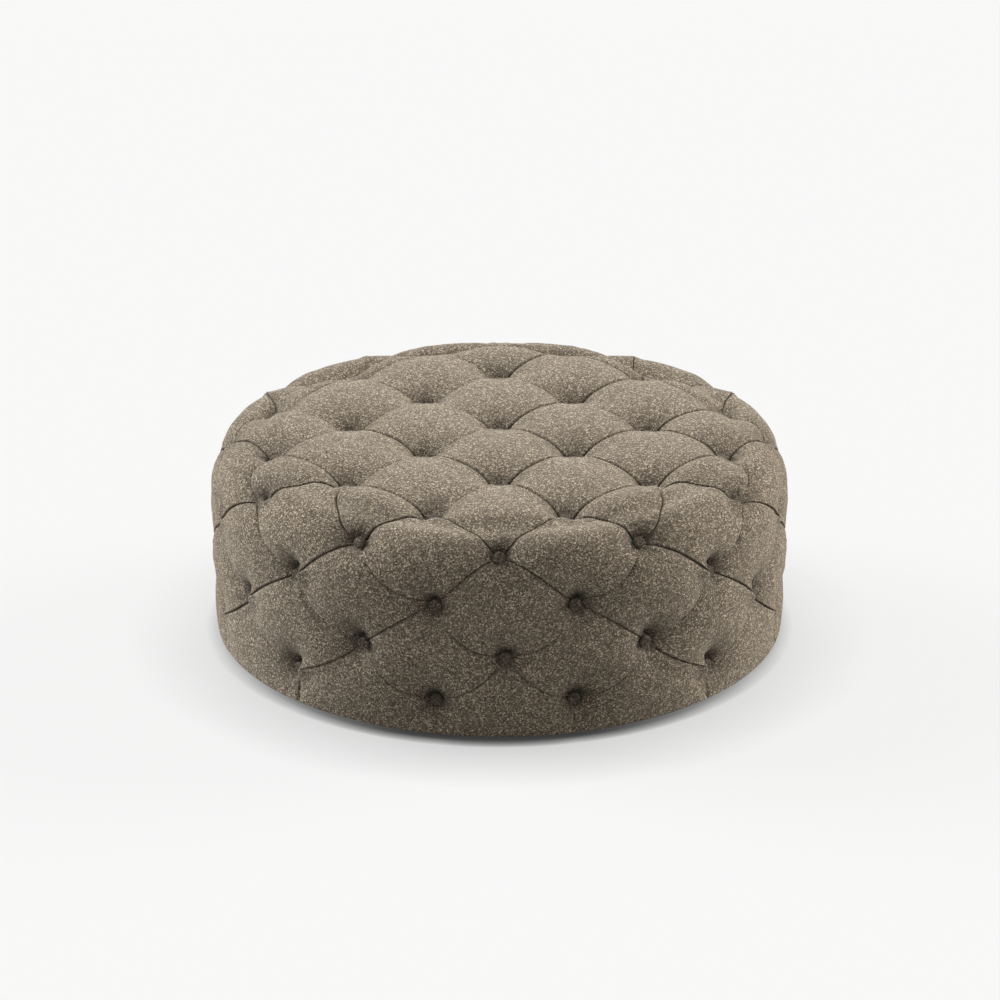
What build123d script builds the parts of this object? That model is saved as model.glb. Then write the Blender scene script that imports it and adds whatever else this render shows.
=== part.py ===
from build123d import *
import os
from collections import namedtuple
from math import atan2, cos, hypot, pi, radians, sin, sqrt

# Round deep-buttoned pouf: a plywood and softwood drum under foam, wadding and one tufted fabric cover.
# Millimetres, +Z up, the floor at zero. Azimuth zero is the front, at -Y, and grows towards +X.

# Overall size of the upholstered drum
overall_diameter = 1100
overall_height = 418

# Upholstery layers, from outside in
fabric = 3
wadding_at_crown = 12
wadding_at_pleat = 7
wadding_at_pit = 3.5
side_foam_depth = 43
top_foam_depth = 57
layer_gap = 0.3

# Buttons: the face of each sits this far below the crowns of the pillows round it
button_diameter = 22
button_height = 5
button_rim = 2.2
shank_radius = 1.5
centre_tuft_depth = 21.5
top_edge_tuft_depth = 30
side_tuft_depth = 9
lower_tuft_depth = 13
pit_floor_margin = 4
button_seat = 1.8

# Diamond grid of the top: the steps across and front to back, as shares of the drum's radius
column_step_share = 14 / 55
row_step_share = 13 / 55
front_pair_share = 0.87
side_pair_share = 0.815

# Button rings round the rim and the side; the side rings' heights are shares of the rim ring's
ring_count = 12
rim_ring_inset = 35
rim_ring_drop = 56
upper_ring_share = 0.747
middle_ring_share = 0.472
lower_ring_share = 0.218
rim_slope = 45
upper_slope = 9
top_edge_slope = 80
front_twist = 1.2
front_draw = 1.5

# Pillows: how far the pleats arch and the rim pillows swell over their buttons
top_pleat_arch = 11
rim_pleat_arch = 15
side_pleat_arch = 10
hem_pleat_arch = 6
rim_crown = 32
lower_crown_inset = 4
shoulder_run_share = 0.42
shoulder_rise_share = 0.76
crown_run_share = 0.74

# Bottom edge: the cover turns under the drum and ends in a flat hem
edge_inset = 10
edge_lift = 7
edge_turn = 12
hem_width = 31

# Frame
glide_height = 5.7
dust_cover_thickness = 1
dust_cover_inset = 2
board = 18
panel = 5
post_width = 40
post_depth = 45
post_count = 8
post_start = 7.5
ring_width = 97
rail_width = 50
rail_height = 20
rail_end_gap = 15
batten_width = 40
batten_height = 30
batten_end_gap = 55
batten_screw_shares = (-0.8, -0.27, 0.27, 0.8)

# Ties behind the buttons
tie_radius = 1
cover_hole_radius = 2.2
tie_hole_radius = 3
board_hole_radius = 4
toggle_radius = 4
toggle_length = 24
rim_anchor_drop = 15

# Fasteners
screw_radius = 2
screw_head_radius = 4
screw_head_height = 3
screw_grip = 32
screw_pitch = 20
rail_screw_inset = 24
rail_screw_bite = 9
batten_screw_bite = 15
panel_screw_radius = 1.5
panel_screw_head_radius = 3.5
panel_screw_head_height = 2
panel_screw_length = 25
panel_screw_spread = 20
panel_screw_edge = 60
hole_clearance = 0.1
staple_width = 10
staple_wire = 1
staple_leg = 9
staple_count = 24
hem_staple_inset = 21
dust_staple_inset = 11
hem_staple_proud = 0.25
dust_staple_turn = 7.5

# Glides
glide_count = 6
glide_radius = 16
glide_inset = 61
glide_edge = 1.5
glide_nail_radius = 1.4
glide_nail_head_radius = 4
glide_nail_head_height = 1.5
glide_nail_length = 20
cut_overrun = 5

# Heights and radii that follow
crown_radius = overall_diameter / 2
column_step = crown_radius * column_step_share
row_step = crown_radius * row_step_share
button_radius = button_diameter / 2
dust_cover_bottom = glide_height + layer_gap
hem_bottom = dust_cover_bottom + dust_cover_thickness + layer_gap
frame_bottom = hem_bottom + fabric + layer_gap
upholstery = fabric + layer_gap + wadding_at_crown + layer_gap
frame_radius = crown_radius - upholstery - side_foam_depth - layer_gap
hem_inner_radius = frame_radius - hem_width
dust_cover_radius = frame_radius - dust_cover_inset
glide_ring_radius = frame_radius - glide_inset
deck_top = overall_height - upholstery - top_foam_depth - layer_gap
deck_bottom = deck_top - board
panel_inner_radius = frame_radius - panel
ring_top = frame_bottom + board
pit_floor_radius = button_radius + pit_floor_margin
rim_ring_radius = crown_radius - rim_ring_inset
rim_ring_height = overall_height - rim_ring_drop
side_ring_radius = crown_radius - side_tuft_depth
lower_ring_radius = crown_radius - lower_tuft_depth
edge_radius = crown_radius - edge_inset
edge_height = hem_bottom + edge_lift
top_edge_radius = 3 * column_step

Tuft = namedtuple("Tuft", "ring azimuth face out anchor")
Layer = namedtuple("Layer", "pit pleat crown edge_radius edge_height under_radius under_height")


def around(radius, azimuth, height):
    """The point at an azimuth in degrees, counted from the front."""
    return Vector(radius * sin(radians(azimuth)), -radius * cos(radians(azimuth)), height)


def slope_out(azimuth, slope):
    """The outward direction at an azimuth that rises by slope degrees."""
    return around(cos(radians(slope)), azimuth, sin(radians(slope)))


def settled(azimuth):
    """Where a side button really sits: near the front the rows are a little twisted and drawn together."""
    front = (1 + cos(radians(azimuth))) / 2
    return azimuth + front * (front_twist - front_draw * sin(4 * radians(azimuth)))


def radial_anchor(face, out, azimuth):
    """Where a side tie leaves the inner face of the panel."""
    run = (hypot(face.X, face.Y) - panel_inner_radius) / sqrt(1 - out.Z * out.Z)
    return face - out * run


# Tufts: the top grid, then the rings from the rim down
def top_tuft(column, row):
    """A button of the top grid, by its column and row steps from the centre."""
    x = column * column_step
    y = row * row_step
    if abs(row) == 3:
        x = x * front_pair_share
    if abs(column) == 3:
        y = y * side_pair_share
    outer = abs(row) == 3 or abs(column) == 3 or abs(row) == 2 and column != 0
    azimuth = atan2(x, -y) * 180 / pi
    share = (x * x + y * y) / top_edge_radius ** 2
    sink = centre_tuft_depth + (top_edge_tuft_depth - centre_tuft_depth) * share
    face = Vector(x, y, overall_height - sink)
    out = slope_out(azimuth, top_edge_slope) if outer else Vector(0, 0, 1)
    anchor = face - out * ((face.Z - deck_bottom) / out.Z)
    return Tuft("top_edge" if outer else "top", azimuth, face, out, anchor)


grid = {}
for row in range(-3, 4):
    for column in range(-3, 4):
        if (row + column) % 2 == 0 and abs(row) + abs(column) <= 4:
            grid[column, row] = top_tuft(column, row)

top_edge = sorted((t for t in grid.values() if t.ring == "top_edge"), key=lambda t: t.azimuth % 360)
ring_step = 360 / ring_count


def ring(name, first, radius, height, slope):
    """One ring of buttons."""
    tufts = []
    for step in range(ring_count):
        nominal = (first + step) * ring_step
        azimuth = nominal if name == "rim" else settled((nominal + 180) % 360 - 180)
        face = around(radius, azimuth, height)
        out = slope_out(azimuth, slope)
        anchor = radial_anchor(face, out, azimuth)
        if name == "rim":
            anchor = around(panel_inner_radius, azimuth, deck_bottom - rim_anchor_drop)
        tufts.append(Tuft(name, azimuth, face, out, anchor))
    return tufts


rim = ring("rim", 0, rim_ring_radius, rim_ring_height, rim_slope)
upper = ring("upper", 1 / 2, side_ring_radius, rim_ring_height * upper_ring_share, upper_slope)
middle = ring("middle", 0, side_ring_radius, rim_ring_height * middle_ring_share, 0)
lower = ring("lower", 1 / 2, lower_ring_radius, rim_ring_height * lower_ring_share, 0)
edge = [Tuft("edge", t.azimuth, around(edge_radius, t.azimuth, edge_height), t.out, None) for t in lower]
tufts = list(grid.values()) + rim + upper + middle + lower


# Pillows: each is named by the tufts at its corners and by how far it swells
def mean_face(corners):
    """The middle of a pillow's corners."""
    return sum((t.face for t in corners), Vector(0, 0, 0)) / len(corners)


def pillow_out(corners):
    """The way a pillow swells: level on the side, and as its buttons face on the top and the rim."""
    out = sum((t.out for t in corners), Vector(0, 0, 0))
    if "middle" in {t.ring for t in corners}:
        out = Vector(out.X, out.Y, 0)
    return out.normalized()


def swell_to(corners, radius):
    """How far a side pillow swells for the corners of its flat crown to reach a radius."""
    mean = mean_face(corners)
    return radius * cos(radians(ring_step / 2 * (1 - crown_run_share))) - hypot(mean.X, mean.Y)


pillows = []
top_pillows = []
for row in range(-2, 3):
    for column in range(-2, 3):
        corners = [(column, row - 1), (column + 1, row), (column, row + 1), (column - 1, row)]
        if (row + column) % 2 and all(place in grid for place in corners):
            top_pillows.append([grid[place] for place in corners])

quarter = ring_count // 4
tips = {0: grid[0, -2], quarter: grid[2, 0], 2 * quarter: grid[0, 2], 3 * quarter: grid[-2, 0]}
for step in range(ring_count):
    tip = [tips[step]] if step in tips else []
    top_pillows.append([rim[step], top_edge[step]] + tip + [top_edge[step - 1]])
    ahead = (step + 1) % ring_count
    pillows.append(([top_edge[step], rim[step], upper[step], rim[ahead]], rim_crown))
    corners = [rim[step], upper[step - 1], middle[step], upper[step]]
    pillows.append((corners, swell_to(corners, crown_radius)))
    corners = [upper[step], middle[step], lower[step], middle[ahead]]
    pillows.append((corners, swell_to(corners, crown_radius)))
    corners = [middle[step], lower[step - 1], edge[step - 1], edge[step], lower[step]]
    pillows.append((corners, swell_to(corners, crown_radius - lower_crown_inset)))
top_crown = overall_height - max(mean_face(corners).Z for corners in top_pillows)
pillows += [(corners, top_crown) for corners in top_pillows]


# Tufted skins: every layer follows the same pillows at its own depth
def pit_floor(tuft, layer):
    """The middle of the flat floor under a button."""
    return tuft.face - tuft.out * (button_height + button_seat + layer.pit)


def corner(tuft, other, layer):
    """Where the pleat from a tuft towards another one starts."""
    if tuft.ring == "edge":
        return around(layer.edge_radius, tuft.azimuth, layer.edge_height)
    lead = other.face - tuft.face
    lead = lead - tuft.out * lead.dot(tuft.out)
    return pit_floor(tuft, layer) + lead.normalized() * pit_floor_radius


def pleat_middle(first, second, layer):
    """The highest point of the pleat between two tufts."""
    rings = {first.ring, second.ring}
    if rings == {"edge"}:
        mean = (first.out + second.out).normalized()
        return Vector(mean.X, mean.Y, 0) * layer.edge_radius + Vector(0, 0, layer.edge_height)
    arch = side_pleat_arch
    if rings <= {"top", "top_edge", "rim"}:
        arch = top_pleat_arch
    elif "rim" in rings:
        arch = rim_pleat_arch
    elif "edge" in rings:
        arch = hem_pleat_arch
    out = (first.out + second.out).normalized()
    return (first.face + second.face) / 2 + out * (arch - layer.pleat)


def raised(point, crown, out, run_share, rise_share):
    """A point part of the way from a pillow's outline to its crown."""
    way = crown - point
    rise = out * way.dot(out)
    return point + (way - rise) * run_share + rise * rise_share


def pillow_faces(corners, swell, layer):
    """Ruled faces from the pleats to the shoulder and on to a flat crown, and a gusset at each button."""
    count = len(corners)
    out = pillow_out(corners)
    crown = mean_face(corners) + out * (swell - layer.crown)
    faces = []
    pits = []
    for place, tuft in enumerate(corners):
        after = corners[(place + 1) % count]
        pits.append((corner(tuft, corners[place - 1], layer), corner(tuft, after, layer)))
    pit_middles = [(first + last) / 2 for first, last in pits]
    shoulders = [raised(p, crown, out, shoulder_run_share, shoulder_rise_share) for p in pit_middles]
    tops = [raised(p, crown, out, crown_run_share, 1) for p in pit_middles]
    for place, tuft in enumerate(corners):
        after = (place + 1) % count
        middle_point = pleat_middle(tuft, corners[after], layer)
        ridge_middle = raised(middle_point, crown, out, shoulder_run_share, shoulder_rise_share)
        valley = Edge.make_three_point_arc(pits[place][1], middle_point, pits[after][0])
        ridge = Edge.make_three_point_arc(shoulders[place], ridge_middle, shoulders[after])
        brow = Edge.make_line(tops[place], tops[after])
        faces.append(Face.make_surface_from_curves(valley, ridge))
        faces.append(Face.make_surface_from_curves(ridge, brow))
        if tuft.ring != "edge":
            faces.append(Face(Wire.make_polygon([pits[place][0], pits[place][1], shoulders[place]])))
    faces.append(Face(Wire.make_polygon(tops)))
    return faces


def floor_faces(layer):
    """The flat floor of each pit, with a corner at each pleat."""
    neighbours = {}
    for corners, swell in pillows:
        for place, tuft in enumerate(corners):
            for other in (corners[place - 1], corners[(place + 1) % len(corners)]):
                if tuft.ring != "edge":
                    neighbours.setdefault(tuple(tuft.face), (tuft, {}))[1][tuple(other.face)] = other
    faces = []
    for tuft, others in neighbours.values():
        plane = Plane(origin=pit_floor(tuft, layer), z_dir=tuft.out)
        points = [corner(tuft, other, layer) for other in others.values()]
        points.sort(key=lambda point: atan2(plane.to_local_coords(point).Y, plane.to_local_coords(point).X))
        faces.append(Face(Wire.make_polygon(points)))
    return faces


def edge_arcs(radius, height):
    """The bottom edge's circle, in arcs that end under the lowest buttons."""
    arcs = []
    for place, tuft in enumerate(edge):
        before = edge[place - 1]
        out = (tuft.out + before.out).normalized()
        halfway = Vector(out.X * radius, out.Y * radius, height)
        start = around(radius, before.azimuth, height)
        arcs.append(Edge.make_three_point_arc(start, halfway, around(radius, tuft.azimuth, height)))
    return arcs


def skin_faces(layer):
    """One tufted skin from the top down to where it turns under the drum."""
    faces = floor_faces(layer)
    for corners, swell in pillows:
        faces += pillow_faces(corners, swell, layer)
    upper_arcs = edge_arcs(layer.edge_radius, layer.edge_height)
    under_arcs = edge_arcs(layer.under_radius, layer.under_height)
    if layer.under_height < layer.edge_height:
        faces += [Face.make_surface_from_curves(a, b) for a, b in zip(upper_arcs, under_arcs)]
    return faces, under_arcs


def closed_solid(faces):
    """The solid inside a set of faces that share their edges."""
    solid = Solid(Shell(faces)).fix()
    return solid if solid.volume > 0 else Solid(Shell([-face for face in faces])).fix()


def flat_ring(outer_arcs, inner_edges):
    """A flat face between two closed outlines."""
    return Face(Wire(outer_arcs), [Wire(inner_edges)])


def skin_layer(depth_pit, depth_pleat, depth_crown, bottom):
    """A skin at the given depths under the outside of the cover."""
    run = depth_crown
    turn = max(edge_turn - depth_crown, 0)
    under = edge_radius - run - turn
    height = max(edge_height, bottom) if turn else bottom
    return Layer(depth_pit, depth_pleat, depth_crown, edge_radius - run, height, under, bottom)


cover_outside = skin_layer(0, 0, 0, hem_bottom)
cover_inside = skin_layer(fabric, fabric, fabric, hem_bottom + fabric)
wadding_depth = fabric + layer_gap
wadding_outside = skin_layer(wadding_depth, wadding_depth, wadding_depth, frame_bottom)
wadding_inside = skin_layer(
    wadding_depth + wadding_at_pit,
    wadding_depth + wadding_at_pleat,
    wadding_depth + wadding_at_crown,
    frame_bottom,
)
foam_outside = skin_layer(
    wadding_inside.pit + layer_gap,
    wadding_inside.pleat + layer_gap,
    wadding_inside.crown + layer_gap,
    frame_bottom,
)


# Small solids that are placed many times
def rod(start, end, radius):
    """A round rod between two points."""
    way = end - start
    return Solid.make_cylinder(radius, way.length, Plane(origin=start, z_dir=way))


def button_solid(tuft):
    """A domed cap with a rounded rim and a short shank, its dome at the tuft's face."""
    plane = Plane(origin=tuft.face, z_dir=tuft.out)
    cap = Solid.make_cylinder(button_radius, button_height, Plane(origin=(0, 0, -button_height)))
    cap = cap.fillet(button_rim, cap.edges().sort_by(Axis.Z)[-1:])
    shank_length = button_seat + fabric
    foot = Plane(origin=(0, 0, -button_height - shank_length))
    shank = Solid.make_cylinder(shank_radius, shank_length, foot)
    return (cap + shank).moved(plane.location)


def shank_end(tuft):
    """Where the twine is knotted to the shank."""
    return tuft.face - tuft.out * (button_height + button_seat + fabric + layer_gap)


def tie_line(tuft):
    """The tie's direction, from the shank to the board."""
    return (tuft.anchor - shank_end(tuft)).normalized()


def inward(tuft):
    """The direction from a board's inner face into the drum."""
    return Vector(0, 0, -1) if tuft.ring in ("top", "top_edge") else around(-1, tuft.azimuth, 0)


def tie_solid(tuft):
    """Button twine, drawn straight from the shank to its toggle."""
    return rod(shank_end(tuft), tuft.anchor, tie_radius)


def toggle_solid(tuft):
    """A short dowel that the twine is tied round behind the board."""
    middle_point = tuft.anchor + inward(tuft) * (toggle_radius + layer_gap)
    reach = around(toggle_length / 2, tuft.azimuth + 90, 0)
    return rod(middle_point - reach, middle_point + reach, toggle_radius)


def tie_bore(tuft, radius):
    """The hole that a tie needs through a layer or a board."""
    start = shank_end(tuft)
    line = tie_line(tuft)
    return rod(start, tuft.anchor + line * cut_overrun, radius)


def cover_bore(tuft):
    """The hole for a shank through the fabric."""
    top = pit_floor(tuft, cover_outside) + tuft.out * layer_gap
    return rod(top, top - tuft.out * (fabric + 2 * layer_gap), cover_hole_radius)


def screw_solid(point, way, grip, radius, head_radius, head_height):
    """A countersunk screw whose flat head lies at a point and whose shank runs along way."""
    plane = Plane(origin=point, z_dir=way)
    head = Solid.make_cone(head_radius, radius, head_height, plane)
    return head + Solid.make_cylinder(radius, grip, plane)


def screw_set(places, grip, radius, head_radius, head_height):
    """Screws and the slightly larger bores that they sit in."""
    screws = [screw_solid(point, way, grip, radius, head_radius, head_height) for point, way in places]
    wide = hole_clearance
    sizes = (grip + 2 * wide, radius + wide, head_radius + wide, head_height + wide)
    bores = [screw_solid(point - way * wide, way, *sizes) for point, way in places]
    return screws, bores


def staple_solid(radius, azimuth, bottom, play):
    """A staple under the hem, its crown along the ring and its legs up into the frame."""
    wire = staple_wire + 2 * play
    width = staple_width + 2 * play
    crown = Pos(0, 0, wire / 2) * Box(width, wire, wire)
    leg = Pos(0, 0, staple_leg / 2) * Box(wire, wire, staple_leg)
    reach = (staple_width - staple_wire) / 2
    shape = crown + Pos(reach, 0, 0) * leg + Pos(-reach, 0, 0) * leg
    return (Pos(around(radius, azimuth, bottom - play)) * Rot(0, 0, azimuth) * shape).solid()


def staple_ring(radius, turn, bottom):
    """A ring of staples and their bores."""
    step = 360 / staple_count
    azimuths = [turn + place * step for place in range(staple_count)]
    staples = [staple_solid(radius, azimuth, bottom, 0) for azimuth in azimuths]
    bores = [staple_solid(radius, azimuth, bottom, hole_clearance) for azimuth in azimuths]
    return staples, bores


def cut(solid, tools):
    """A solid less all its tools."""
    result = solid.cut(*tools)
    return result if isinstance(result, Solid) else result.solids()[0]


def sector(radius, start, end, bottom, top):
    """A wedge of a cylinder between two azimuths."""
    plane = Plane(origin=(0, 0, bottom), x_dir=around(1, start, 0), z_dir=(0, 0, 1))
    return Solid.make_cylinder(radius, top - bottom, plane, end - start)


def write(name, shape):
    """Writes one sub-part as a STEP file."""
    shapes = list(shape) if isinstance(shape, (list, tuple)) else [shape]
    export_step(Compound(children=shapes) if len(shapes) > 1 else shapes[0], f"parts/{name}.step")


os.makedirs("parts", exist_ok=True)

# Fasteners, worked out first because the boards are bored for them
post_azimuths = [post_start + place * 360 / post_count for place in range(post_count)]
post_middle_radius = panel_inner_radius - post_depth / 2
up = Vector(0, 0, 1)
down = Vector(0, 0, -1)
deck_screw_places = []
base_screw_places = []
panel_screw_places = []
for azimuth in post_azimuths:
    for side in (-1, 1):
        radius = post_middle_radius + side * screw_pitch / 2
        deck_screw_places.append((around(radius, azimuth, deck_top), down))
        base_screw_places.append((around(radius, azimuth, frame_bottom), up))
        turn = side * panel_screw_spread / 2 / frame_radius * 180 / pi
        for height in (ring_top + panel_screw_edge, deck_bottom - panel_screw_edge):
            point = around(frame_radius, azimuth + turn, height)
            panel_screw_places.append((point, around(-1, azimuth + turn, 0)))
rail_reach = panel_inner_radius - rail_end_gap
rail_top = ring_top + rail_height
rail_screw_places = []
for quarter_turn in range(4):
    for side in (-1, 1):
        radius = rail_reach - rail_screw_inset
        spread = side * screw_pitch / 2 / radius * 180 / pi
        rail_screw_places.append((around(radius, quarter_turn * 90 + spread, rail_top), down))
batten_offset = column_step / 2
batten_reach = sqrt(panel_inner_radius ** 2 - (batten_offset + batten_width / 2) ** 2) - batten_end_gap
batten_screw_places = []
for side in (-1, 1):
    for share in batten_screw_shares:
        batten_screw_places.append((Vector(side * batten_offset, share * batten_reach, deck_top), down))

screws = (screw_radius, screw_head_radius, screw_head_height)
deck_screws, deck_bores = screw_set(deck_screw_places, board + screw_grip, *screws)
base_screws, base_bores = screw_set(base_screw_places, board + screw_grip, *screws)
rail_screws, rail_bores = screw_set(rail_screw_places, rail_height + rail_screw_bite, *screws)
batten_screws, batten_bores = screw_set(batten_screw_places, board + batten_screw_bite, *screws)
panel_sizes = (panel_screw_radius, panel_screw_head_radius, panel_screw_head_height)
panel_screws, panel_bores = screw_set(panel_screw_places, panel_screw_length, *panel_sizes)
hem_staples, hem_bores = staple_ring(frame_radius - hem_staple_inset, 0, hem_bottom - hem_staple_proud)
dust_staples, dust_bores = staple_ring(
    frame_radius - dust_staple_inset, dust_staple_turn, dust_cover_bottom - staple_wire
)

glide_azimuths = [place * 360 / glide_count for place in range(glide_count)]
nail_base = glide_height - glide_nail_head_height
glide_nails = []
glide_bores = []
for azimuth in glide_azimuths:
    for play, solids in ((0, glide_nails), (hole_clearance, glide_bores)):
        foot = Plane(origin=around(glide_ring_radius, azimuth, nail_base - play))
        head = Solid.make_cylinder(glide_nail_head_radius + play, glide_nail_head_height + 2 * play, foot)
        solids.append(head + Solid.make_cylinder(glide_nail_radius + play, glide_nail_length + 2 * play, foot))

# Frame
frame_plane = Plane(origin=(0, 0, frame_bottom))
base_ring = Solid.make_cylinder(frame_radius, board, frame_plane)
base_ring = cut(base_ring, [Solid.make_cylinder(frame_radius - ring_width, board, frame_plane)])
base_ring = cut(base_ring, base_bores + rail_bores + hem_bores + dust_bores + glide_bores)
write("base_ring", base_ring)

top_deck = Solid.make_cylinder(frame_radius, board, Plane(origin=(0, 0, deck_bottom)))
top_bores = [tie_bore(t, board_hole_radius) for t in grid.values()]
write("top_deck", cut(top_deck, top_bores + deck_bores + batten_bores))

for number, azimuth in enumerate(post_azimuths, 1):
    height = deck_bottom - ring_top
    place = Pos(around(post_middle_radius, azimuth, ring_top + height / 2)) * Rot(0, 0, azimuth)
    post = place * Box(post_width, post_depth, height)
    post = post & Solid.make_cylinder(panel_inner_radius, deck_bottom)
    write(f"post_{number:02d}", cut(post.solid(), deck_bores + base_bores + panel_bores))

hoop_plane = Plane(origin=(0, 0, ring_top))
hoop_height = deck_bottom - ring_top
hoop = Solid.make_cylinder(frame_radius, hoop_height, hoop_plane)
hoop = cut(hoop, [Solid.make_cylinder(panel_inner_radius, hoop_height, hoop_plane)])
side_bores = [tie_bore(t, board_hole_radius) for t in rim + upper + middle + lower]
hoop = cut(hoop, side_bores + panel_bores)
half_turn = Plane(origin=(0, 0, 0), z_dir=around(1, post_start + 90, 0))
write("side_panel_right", split(hoop, half_turn, keep=Keep.TOP).solid())
write("side_panel_left", split(hoop, half_turn, keep=Keep.BOTTOM).solid())

rail_place = Pos(0, 0, ring_top + rail_height / 2)
long_rail = rail_place * Box(2 * rail_reach, rail_width, rail_height)
write("cross_rail", cut(long_rail.solid(), rail_bores))
half_length = rail_reach - rail_width / 2
for name, side in (("front_rail", -1), ("back_rail", 1)):
    offset = Pos(0, side * (rail_width + half_length) / 2, 0)
    write(name, cut((offset * rail_place * Box(rail_width, half_length, rail_height)).solid(), rail_bores))
for name, side in (("deck_batten_left", -1), ("deck_batten_right", 1)):
    place = Pos(side * batten_offset, 0, deck_bottom - batten_height / 2)
    write(name, cut((place * Box(batten_width, 2 * batten_reach, batten_height)).solid(), batten_bores))

write("deck_screws", deck_screws)
write("base_screws", base_screws)
write("rail_screws", rail_screws)
write("batten_screws", batten_screws)
write("panel_screws", panel_screws)

# Foam: one tufted body, bored for the ties and parted at the deck into a slab and a side wrap
foam_faces, foam_arcs = skin_faces(foam_outside)
foam = closed_solid(foam_faces + [Face(Wire(foam_arcs))])
drum_radius = frame_radius + layer_gap
drum_height = deck_top + layer_gap - frame_bottom
drum = Solid.make_cylinder(drum_radius, drum_height, Plane(origin=(0, 0, frame_bottom)))
foam = cut(foam, [drum])
foam = cut(foam, [tie_bore(t, tie_hole_radius) for t in tufts])
parting = Plane(origin=(0, 0, deck_top + layer_gap))
write("top_foam", split(foam, parting, keep=Keep.TOP).solid())
write("side_foam", split(foam, parting.offset(-layer_gap), keep=Keep.BOTTOM).solid())

# Wadding between the foam and the cover
outer_faces, outer_arcs = skin_faces(wadding_outside)
inner_faces, inner_arcs = skin_faces(wadding_inside)
wadding = closed_solid(outer_faces + inner_faces + [flat_ring(outer_arcs, inner_arcs)])
write("wadding", cut(wadding, [tie_bore(t, tie_hole_radius) for t in tufts]))

# Cover: outside, inside, and the flat hem between them under the drum
outer_faces, outer_arcs = skin_faces(cover_outside)
inner_faces, inner_arcs = skin_faces(cover_inside)
hem_levels = (hem_bottom, hem_bottom + fabric)
hem_circles = [Edge.make_circle(hem_inner_radius, Plane(origin=(0, 0, z))) for z in hem_levels]
cover_faces = outer_faces + inner_faces
cover_faces += [flat_ring(outer_arcs, hem_circles[:1]), flat_ring(inner_arcs, hem_circles[1:])]
cover_faces.append(Face.make_surface_from_curves(*hem_circles))
cover = closed_solid(cover_faces)
write("tufted_cover", cut(cover, [cover_bore(t) for t in tufts] + hem_bores + dust_bores))

# Buttons, ties and toggles, one node of each for every ring
rings = {
    "top_field": [t for t in tufts if t.ring == "top"],
    "top_edge": top_edge,
    "rim": rim,
    "upper_side": upper,
    "middle_side": middle,
    "lower_side": lower,
}
for name, members in rings.items():
    write(f"{name}_buttons", [button_solid(t) for t in members])
    write(f"{name}_ties", [tie_solid(t) for t in members])
    write(f"{name}_toggles", [toggle_solid(t) for t in members])

# Underside
dust_plane = Plane(origin=(0, 0, dust_cover_bottom))
dust_cover = Solid.make_cylinder(dust_cover_radius, dust_cover_thickness, dust_plane)
write("dust_cover", cut(dust_cover, dust_bores + glide_bores))
write("hem_staples", hem_staples)
write("dust_cover_staples", dust_staples)
write("glide_nails", glide_nails)
for number, azimuth in enumerate(glide_azimuths, 1):
    foot = Plane(origin=around(glide_ring_radius, azimuth, 0))
    glide = Solid.make_cylinder(glide_radius, glide_height, foot)
    glide = glide.fillet(glide_edge, glide.edges().sort_by(Axis.Z)[:1])
    write(f"glide_{number:02d}", cut(glide, glide_bores))
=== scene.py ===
import math
from collections import namedtuple

import bmesh
import bpy
import numpy as np
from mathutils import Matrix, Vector, kdtree, noise


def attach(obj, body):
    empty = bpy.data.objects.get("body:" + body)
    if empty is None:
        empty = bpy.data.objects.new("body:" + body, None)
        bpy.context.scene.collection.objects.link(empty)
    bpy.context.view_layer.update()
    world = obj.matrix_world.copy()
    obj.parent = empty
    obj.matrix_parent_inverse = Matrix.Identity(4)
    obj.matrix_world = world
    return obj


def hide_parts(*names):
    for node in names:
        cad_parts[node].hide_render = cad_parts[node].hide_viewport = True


# A round deep-buttoned pouf. Metres, +Z up, azimuth zero at the front (-Y) and growing towards +X.

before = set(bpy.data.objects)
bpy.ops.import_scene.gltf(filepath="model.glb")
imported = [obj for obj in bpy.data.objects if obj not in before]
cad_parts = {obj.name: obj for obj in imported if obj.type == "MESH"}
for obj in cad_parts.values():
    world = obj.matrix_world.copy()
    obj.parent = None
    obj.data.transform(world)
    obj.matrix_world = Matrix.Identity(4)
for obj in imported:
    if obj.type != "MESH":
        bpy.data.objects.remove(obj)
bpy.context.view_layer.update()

# Camera, fitted to the photographed outline and buttons
CAMERA_DISTANCE = 12.0
CAMERA_ELEVATION = math.radians(23.35)
CAMERA_TARGET = Vector((0.001, 0, 0.2526))
FOCAL_SHARE = 6.309
SENSOR = 36.0
FARTHEST = 100

# The crowns' envelope, as the meridian of a round body
TOP_HEIGHT = 0.418
SIDE_RADIUS = 0.550
DOME_RISE = 0.008
RIM_ROUND = 0.118
SIDE_FOOT = 0.085
RIM_DIP = 0.012
RIM_DIP_PLACE = 0.456
RIM_DIP_WIDTH = 0.030
EDGE_RADIUS = 0.540
EDGE_HEIGHT = 0.0155
UNDER_RADIUS = 0.529
HEM_HEIGHT = 0.0075
HEM_INNER_RADIUS = 0.460
TOP_STEPS = 200
RIM_STEPS = 120
SIDE_STEPS = 120
FOOT_STEPS = 60
TURN_STEPS = 16
HEM_STEPS = 8
HEM_RINGS = 5

# The back pillows sink round one place on the meridian, less so close to the rim's buttons
BACK_SINK = 0.026
BACK_SINK_PLACE = 0.464
BACK_SINK_WIDTH = 0.044
BACK_SINK_POWER = 1.5
BACK_SINK_OBLIQUE_SHARE = 0.7
BACK_SPARE = 0.6
BACK_SPARE_REACH = 0.060

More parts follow.
